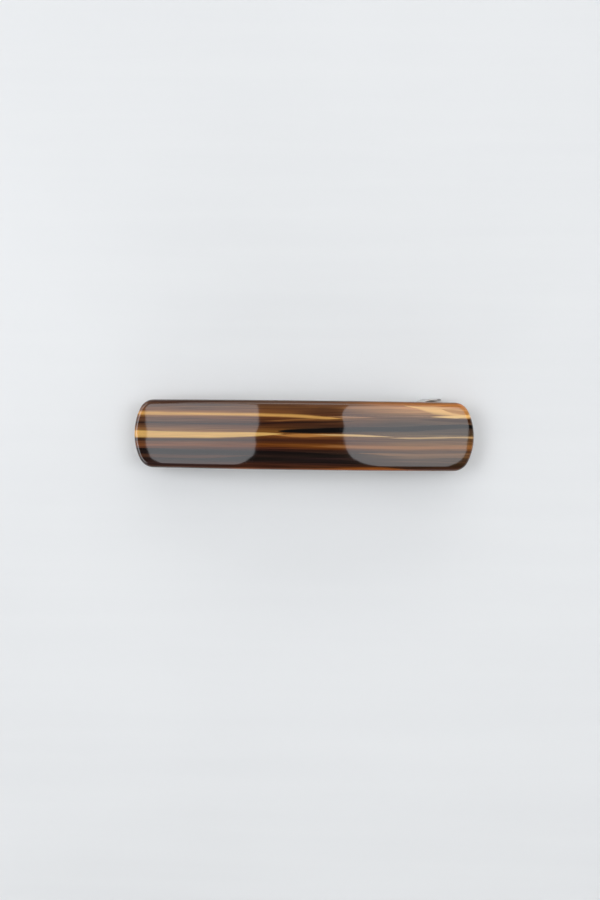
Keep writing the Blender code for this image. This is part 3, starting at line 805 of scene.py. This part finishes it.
half_blank = [(0.0, ARM_HALF, 0.3), (arm_u(17.0), ARM_HALF, 1.0),
              (arm_u(18.6), HEAD_HALF, 0.8), (arm_u(23.2), HEAD_HALF, 0.5),
              (arm_u(24.2), NOSE_HALF, 0.5), (arm_u(29.95), NOSE_HALF, 1.9)]
blank = mirrored(half_blank)
corners = [(SLOT_FROM, -SLOT_HALF), (SLOT_TO, -SLOT_HALF), (SLOT_TO, SLOT_HALF),
           (SLOT_FROM, SLOT_HALF)]
slot = rounded([(arm_u(x), v, SLOT_HALF) for x, v in corners])
place_piece("clasp_arm_strip", stamp(blank, [slot], ARM, arm_place, 0.5, 0.16),
            "clasp_arm", nickel, "nickel_plate", "clasp_arm")

# ----------------------------------------
# Latch.
# One spring steel stamping, hung under the base plate: a riveted bridge, folds at its sides, and
# on each side a cheek that ends in a hook for the arm's head and flares out to a finger wing.
# ----------------------------------------
LATCH = 0.5
LATCH_LEAN = asin(LATCH_X / PLATE_UNDER)
LATCH_FOOT = Vector((LATCH_X, CLIP_Y, ARCH_Z + PLATE_UNDER * cos(LATCH_LEAN)))
LATCH_ALONG = Vector((cos(LATCH_LEAN), 0.0, -sin(LATCH_LEAN)))
LATCH_UP = Vector((sin(LATCH_LEAN), 0.0, cos(LATCH_LEAN)))
BRIDGE_HALF, CHEEK_V, PAD_V = 3.35, 3.9, 8.55
BRIDGE_DEEP = GAP + LATCH / 2
BRIDGE_REACH = 1.6
FOLD_FROM, FOLD_TO, FOLD_LAP = -1.6, 0.8, 0.12


def in_latch(u, v, deep):
    """A place along the latch, out from its middle, and below the base plate."""
    return LATCH_FOOT + LATCH_ALONG * u + Vector((0, v, 0)) - LATCH_UP * deep


def depth_at(u, height):
    """How deep a height above the table is, below the base plate at u."""
    return (LATCH_FOOT.z - u * sin(LATCH_LEAN) - height) / cos(LATCH_LEAN)


def bridge_place(u, v, h):
    return in_latch(u, v, BRIDGE_DEEP - h)


corners = [(-BRIDGE_REACH, -BRIDGE_HALF), (BRIDGE_REACH, -BRIDGE_HALF),
           (BRIDGE_REACH, BRIDGE_HALF), (-BRIDGE_REACH, BRIDGE_HALF)]
blank = rounded([(u, v, 0.2) for u, v in corners])
place_piece("latch_bridge_plate",
            stamp(blank, [circle(0, 0, HOLE_R)], LATCH, bridge_place, 0.5, 0.1),
            "bar_and_base", spring_steel, "spring_steel", "latch_bridge")

WING_FROM, WING_TO = -7.0, 10.88
WING_STEP, WING_STEPS = 0.1, 180
FLARE_FROM, FLARE_LENGTH = 0.9, 7.0


def wing_v(u):
    """How far out the wing's mid surface is: a straight cheek, an eased flare, a finger pad."""
    def sharp(at):
        share = min(max((at - FLARE_FROM) / FLARE_LENGTH, 0.0), 1.0)
        return CHEEK_V + (PAD_V - CHEEK_V) * sin(share * pi / 2)
    return sum(sharp(u + 0.15 * k) for k in range(-3, 4)) / 7


wing_path = [Vector((u, wing_v(u))) for u in (WING_FROM + WING_STEP * k for k in range(WING_STEPS))]
wing_lengths = [0.0]
for a, b in zip(wing_path, wing_path[1:]):
    wing_lengths.append(wing_lengths[-1] + (b - a).length)
wing_ways = [wing_path[min(k + 2, len(wing_path) - 1)] - wing_path[max(k - 2, 0)]
             for k in range(len(wing_path))]
for way in wing_ways:
    way.normalize()


def wing_s(u):
    """Length along the wing's path at u."""
    share = (u - WING_FROM) / WING_STEP
    k = min(int(share), len(wing_path) - 2)
    return wing_lengths[k] + (wing_lengths[k + 1] - wing_lengths[k]) * (share - k)


def wing_at(s):
    """Place on the wing's path at length s, and the outward direction there."""
    k = 0
    while k < len(wing_lengths) - 2 and wing_lengths[k + 1] < s:
        k += 1
    here, ahead = wing_path[k], wing_path[k + 1]
    share = (s - wing_lengths[k]) / (wing_lengths[k + 1] - wing_lengths[k])
    way = wing_ways[k].lerp(wing_ways[k + 1], share)
    return here + (ahead - here) * share, Vector((-way.y, way.x)).normalized()


HOOK_FROM, HOOK_TO = -6.6, -4.3
HOOK_FOLD = 0.45
HOOK_REACH = 2.45
# The latch's lean carries the hooks this far back along the arm.
HOOK_BACK = 1.7


def hook_deep(u):
    """Depth where the hook's fold begins, so that its tongue lies just under the arm's head."""
    x = LATCH_X + u * cos(LATCH_LEAN) - HOOK_BACK
    arm_mid = ARM_CENTRE[1] + sqrt(ARM_R ** 2 - (x - ARM_CENTRE[0]) ** 2)
    return depth_at(u, arm_mid - ARM / 2 - 2 * GAP) - HOOK_FOLD


def wing_place(side):
    fade = 0.7

    def place(s, deep, h):
        at, out = wing_at(s)
        # The fold fades out over a short length of cheek beside the tongue.
        folded = min(max((HOOK_TO + 0.1 + fade - at.x) / fade, 0.0), 1.0)
        beyond = deep - hook_deep(at.x)
        if beyond <= 0 or folded == 0:
            return in_latch(at.x + out.x * h, side * (at.y + out.y * h), deep)
        past = beyond * folded
        turn = min(past / HOOK_FOLD, pi / 2)
        rest = max(past - HOOK_FOLD * pi / 2, 0.0)
        v = at.y - HOOK_FOLD * (1 - cos(turn)) - rest * sin(turn) + h * cos(turn)
        below = deep - past + HOOK_FOLD * sin(turn) + rest * cos(turn) + h * sin(turn)
        return in_latch(at.x, side * v, below)
    return place


def fold_place(side):
    """Quarter turn from the bridge's edge down into the cheek."""
    radius = CHEEK_V - BRIDGE_HALF

    def place(u, s, h):
        turn = min(max(s / radius, 0.0), pi / 2)
        rest = s - turn * radius
        out = BRIDGE_HALF + radius * sin(turn) + (rest if rest < 0 else 0.0) + h * sin(turn)
        deep = BRIDGE_DEEP + radius * (1 - cos(turn)) + (rest if rest > 0 else 0.0) - h * cos(turn)
        return in_latch(u, side * out, deep)
    return place


def wing_blank():
    """Outline of one side of the stamping, laid flat."""
    cheek_top = GAP + 0.2
    fold_top = BRIDGE_DEEP + CHEEK_V - BRIDGE_HALF
    tongue = HOOK_FOLD * pi / 2 + CHEEK_V - HOOK_FOLD - HOOK_REACH
    top = [(WING_FROM, cheek_top, 0.5), (FOLD_FROM - 0.4, cheek_top, 0.2),
           (FOLD_FROM - 0.2, fold_top, 0.2), (FOLD_TO + 0.1, fold_top, 0.2),
           (FOLD_TO + 0.5, cheek_top, 0.3), (7.9, 0.85, 2.0), (9.3, 0.95, 1.0), (10.3, 1.4, 1.0),
           (WING_TO, 2.6, 1.2)]
    # The foot, as heights above the table.
    foot = [(WING_TO, 0.0, 0.7), (6.5, 0.0, 2.0), (4.6, 0.55, 2.0), (2.8, 1.75, 2.0),
            (0.9, 3.1, 1.0), (-1.6, 3.0, 1.0), (-3.4, 2.75, 0.4)]
    foot = [(u, depth_at(u, height), radius) for u, height, radius in foot]
    # The hook, as depths below the start of its fold.
    hook = [(HOOK_TO + 0.15, -0.05, 0.12), (HOOK_TO, 0.1, 0.12), (HOOK_TO, tongue, 0.4),
            (HOOK_FROM, tongue, 0.6), (HOOK_FROM, 0.1, 0.12)]
    hook = [(u, hook_deep(min(u, HOOK_TO)) + deep, radius) for u, deep, radius in hook]
    hook.append((WING_FROM, hook_deep(WING_FROM) - 0.2, 0.2))
    return rounded([(wing_s(u), deep, radius) for u, deep, radius in top + foot + hook])


for name, side in (("rear", 1), ("front", -1)):
    body = f"latch_wing_{name}"
    wing = stamp(wing_blank(), [], LATCH, wing_place(side), 0.4, 0.12)
    place_piece(f"finger_wing_{name}", wing, body, spring_steel, "spring_steel", body)
    length = (CHEEK_V - BRIDGE_HALF) * pi / 2
    corners = [(FOLD_FROM, -FOLD_LAP), (FOLD_TO, -FOLD_LAP), (FOLD_TO, length + FOLD_LAP),
               (FOLD_FROM, length + FOLD_LAP)]
    # A hair thinner than its neighbours, so its laps lie inside them.
    fold = stamp(rounded([(u, s, 0.25) for u, s in corners]), [], LATCH * 0.98, fold_place(side),
                 0.2, 0.06)
    piece = bring_in(f"latch_fold_{name}", fold, spring_steel)
    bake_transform(piece)

# ----------------------------------------
# Pins and rivets.
# Turned steel: two short pins set hot into the bar's back, one rivet through the latch's bridge,
# and the hinge pin, which is headed over at both ears. Their heads are domed by the setting tool.
# ----------------------------------------
def headed_tree(finish):
    """A domed head and its shank on each point, set along the point's own direction."""
    tree, sizes = new_tree("headed_pins",
                           ["Head Radius", "Head Height", "Shank Radius", "Shank Length"])
    ball = add_node(tree, "GeometryNodeMeshUVSphere", {"Segments": 40, "Rings": 24, "Radius": 1.0})
    start = add_node(tree, "GeometryNodeInputPosition").outputs[0]
    x, y, z = add_node(tree, "SeparateXYZ", {0: start}).outputs
    # A flat seat, a short straight rim, and a low dome with a small flat where the tool struck.
    struck = 0.94
    round_of = reckon(tree, "ADD", reckon(tree, "MULTIPLY", x, x), reckon(tree, "MULTIPLY", y, y))
    spread = reckon(tree, "POWER", reckon(tree, "MAXIMUM", round_of, 1e-6), -0.12)
    dome = reckon(tree, "MINIMUM", reckon(tree, "MAXIMUM", z, 0.0), struck)
    spot = combine(tree, reckon(tree, "MULTIPLY", x, spread), reckon(tree, "MULTIPLY", y, spread),
                   dome)
    head = add_node(tree, "GeometryNodeSetPosition",
                    {"Geometry": ball.outputs[0], "Position": spot})
    scale = combine(tree, sizes["Head Radius"], sizes["Head Radius"], sizes["Head Height"])
    head = add_node(tree, "GeometryNodeTransform", {"Geometry": head.outputs[0], "Scale": scale})
    shank = add_node(tree, "GeometryNodeMeshCylinder", {
        "Vertices": 32, "Side Segments": 2, "Fill Segments": 2, "Radius": sizes["Shank Radius"],
        "Depth": sizes["Shank Length"]})
    # The shank hangs from the head's seat, a hair's breadth into it.
    drop = combine(tree, z=reckon(tree, "MULTIPLY", sizes["Shank Length"], -0.499))
    shank = add_node(tree, "GeometryNodeTransform", {"Geometry": shank.outputs[0],
                                                     "Translation": drop})
    pin = add_node(tree, "GeometryNodeJoinGeometry")
    for part in (head, shank):
        tree.links.new(part.outputs[0], pin.inputs[0])
    way = add_node(tree, "GeometryNodeInputNamedAttribute", {"Name": "way"},
                   data_type="FLOAT_VECTOR")
    turned = add_node(tree, "FunctionNodeAlignRotationToVector", {"Vector": way.outputs[0]},
                      axis="Z")
    row = add_node(tree, "GeometryNodeInstanceOnPoints", {"Points": sizes["Geometry"],
                                                          "Instance": pin.outputs[0],
                                                          "Rotation": turned.outputs[0]})
    smooth = add_node(tree, "GeometryNodeSetShadeSmooth", {"Geometry": row.outputs[0]})
    end_tree(tree, smooth.outputs[0], finish)
    return tree


def pin_points(name, spots):
    """One point for each pin, with the direction that its head faces."""
    mesh = bpy.data.meshes.new(name)
    mesh.from_pydata([Vector(spot) * MM for spot, _ in spots], [], [])
    way = mesh.attributes.new("way", "FLOAT_VECTOR", "POINT")
    for k, (_, direction) in enumerate(spots):
        way.data[k].vector = direction
    return mesh


def under_plate(x, deep):
    """A place below the base plate's underside, and the way down from it."""
    turn = asin(x / PLATE_UNDER)
    return on_arch(PLATE_UNDER - deep, turn, CLIP_Y), Vector((-sin(turn), 0, -cos(turn)))


rivet_steel = metal("rivet_steel", (176, 174, 170), 0.3, 0.2, 0.5, (140, 134, 126))
headed = headed_tree(rivet_steel)
setting = [under_plate(HINGE_END_PIN_X, GAP), under_plate(LATCH_END_PIN_X, GAP),
           under_plate(LATCH_X, 2 * GAP + LATCH)]
sizes = {"Head Radius": 1.3 * MM, "Head Height": 0.55 * MM, "Shank Radius": 0.8 * MM,
         "Shank Length": 1.6 * MM}
rivets = grow("set_rivets", pin_points("rivet_points", setting), headed, sizes)
place_piece("set_rivets", rivets, "bar_and_base", rivet_steel, "rivet_steel",
            "fixing_pin_hinge_end", "fixing_pin_latch_end", "latch_rivet")

PIN_REACH = 4.0 + GAP
heads = [((PIN_X, CLIP_Y + side * PIN_REACH, PIN_Z), (0, side, 0)) for side in (1, -1)]
sizes = {"Head Radius": 1.2 * MM, "Head Height": 0.5 * MM, "Shank Radius": 0.7 * MM,
         "Shank Length": PIN_REACH * MM}
pin = grow("headed_hinge_pin", pin_points("pin_points", heads), headed, sizes)
place_piece("headed_hinge_pin", pin, "bar_and_base", rivet_steel, "rivet_steel", "hinge_pin")

# ----------------------------------------
# Table top, studio light and camera.
# A pale painted board in a dim room. Four oval lights, left, right, behind and at the side, show in
# the polish as pale panels with the bar's own colour between them, and softer fills don't show.
# ----------------------------------------
bpy.context.scene.view_settings.view_transform = "Standard"

FLOOR_HALF = 1.5
floor_mesh = bpy.data.meshes.new("table_top")
floor_corners = [(-FLOOR_HALF, -FLOOR_HALF, 0), (FLOOR_HALF, -FLOOR_HALF, 0),
                 (FLOOR_HALF, FLOOR_HALF, 0), (-FLOOR_HALF, FLOOR_HALF, 0)]
floor_mesh.from_pydata(floor_corners, [], [(0, 1, 2, 3)])
paint, tree, shader = new_material("pale_paint")
place = add_node(tree, "TexCoord").outputs["Object"]
brush = noise(tree, place, (9.0, 160.0, 9.0), 5.0)
cloud = noise(tree, place, (7.0, 7.0, 7.0), 3.0)
shade = mix_colour(tree, ease(tree, cloud, 0.3, 0.7), (0.725, 0.735, 0.735, 1),
                   (0.755, 0.765, 0.765, 1))
shade = mix_colour(tree, ease(tree, brush, 0.3, 0.75, 0.0, 0.3), shade, (0.78, 0.79, 0.785, 1))
surface(tree, shader, shade, ease(tree, brush, 0.3, 0.7, 0.5, 0.65), brush, 0.3, 0.00006)
floor = bring_in("table_top", floor_mesh, paint)


def soft_light(name, centre, size, radiance, tilt=0.0, lean=0.0, tone=(1.0, 1.0, 1.0)):
    """An oval light of a size in metres, facing down or turned, as bright all over as radiance."""
    data = bpy.data.lights.new(name, "AREA")
    data.shape = "ELLIPSE"
    data.size, data.size_y = size
    data.energy = radiance * pi * (pi * size[0] * size[1] / 4)
    data.color = tone
    made = bpy.data.objects.new(name, data)
    made.location = centre
    made.rotation_euler = (radians(tilt), radians(lean), 0)
    made.visible_camera = False
    bpy.context.scene.collection.objects.link(made)
    return made


PANEL_HEIGHT = 0.6
PANEL_TONE = (0.96, 0.985, 1.03)
soft_light("left_panel", (-0.48, 0.055, PANEL_HEIGHT), (0.62, 0.5), 3.0, tone=PANEL_TONE)
soft_light("right_panel", (0.431, 0.035, PANEL_HEIGHT), (0.64, 0.37), 3.0, tone=PANEL_TONE)
rear_panel = soft_light("rear_panel", (0.0, 0.56, PANEL_HEIGHT), (1.3, 0.5), 2.4, tone=PANEL_TONE)
side_panel = soft_light("side_panel", (-1.0, 0.0, 0.4), (0.36, 1.2), 4.5, lean=-68, tone=PANEL_TONE)
for panel in (rear_panel, side_panel):
    panel.visible_diffuse = False
# These only light the table and the body colours, and don't show in the polish.
for fill in (soft_light("rear_fill", (0.0, 0.56, PANEL_HEIGHT), (1.3, 0.5), 0.6),
             soft_light("ceiling", (0.0, 0.1, 1.4), (3.2, 3.2), 0.52),
             soft_light("front_fill", (0.0, -1.3, 0.5), (2.4, 0.6), 1.2, tilt=70),
             soft_light("left_fill", (-1.2, 0.0, 0.45), (0.7, 1.6), 0.8, lean=-70),
             soft_light("right_fill", (1.2, 0.0, 0.45), (0.7, 1.6), 1.0, lean=70),
             soft_light("window", (0.0, 1.3, 0.5), (2.4, 0.5), 2.4, tilt=-70)):
    fill.visible_glossy = False

# The room gives little light. Past the board's edge the camera sees it paler.
world = bpy.data.worlds.new("room")
bpy.context.scene.world = world
world.use_nodes = True
tree = world.node_tree
dim = tree.nodes["Background"]
dim.inputs["Color"].default_value = (0.045, 0.045, 0.05, 1)
pale = add_node(tree, "Background", {"Color": (0.60, 0.61, 0.62, 1)})
seen = add_node(tree, "LightPath").outputs["Is Camera Ray"]
both = add_node(tree, "MixShader", {0: seen, 1: dim.outputs[0], 2: pale.outputs[0]})
tree.links.new(both.outputs[0], tree.nodes["World Output"].inputs["Surface"])

# The camera looks down on the bar from a little to its right, and is turned a touch.
CAMERA_HEIGHT = 0.331
camera = bpy.data.objects.new("camera", bpy.data.cameras.new("camera"))
bpy.context.scene.collection.objects.link(camera)
bpy.context.scene.camera = camera
camera.data.lens = 51.5
camera.data.sensor_width = 36
camera.data.clip_start = 0.01
camera.location = (0.0122, BAR_Y * MM + 0.002, BAR_APEX * MM + CAMERA_HEIGHT)
aim = Vector((-0.00045, BAR_Y * MM - 0.0038, BAR_APEX * MM))
sight = (aim - camera.location).normalized()
turn = radians(0.7)
side = Vector((cos(turn), sin(turn), 0.0))
side = (side - sight * side.dot(sight)).normalized()
camera.rotation_euler = Matrix((side, side.cross(sight), -sight)).transposed().to_euler()
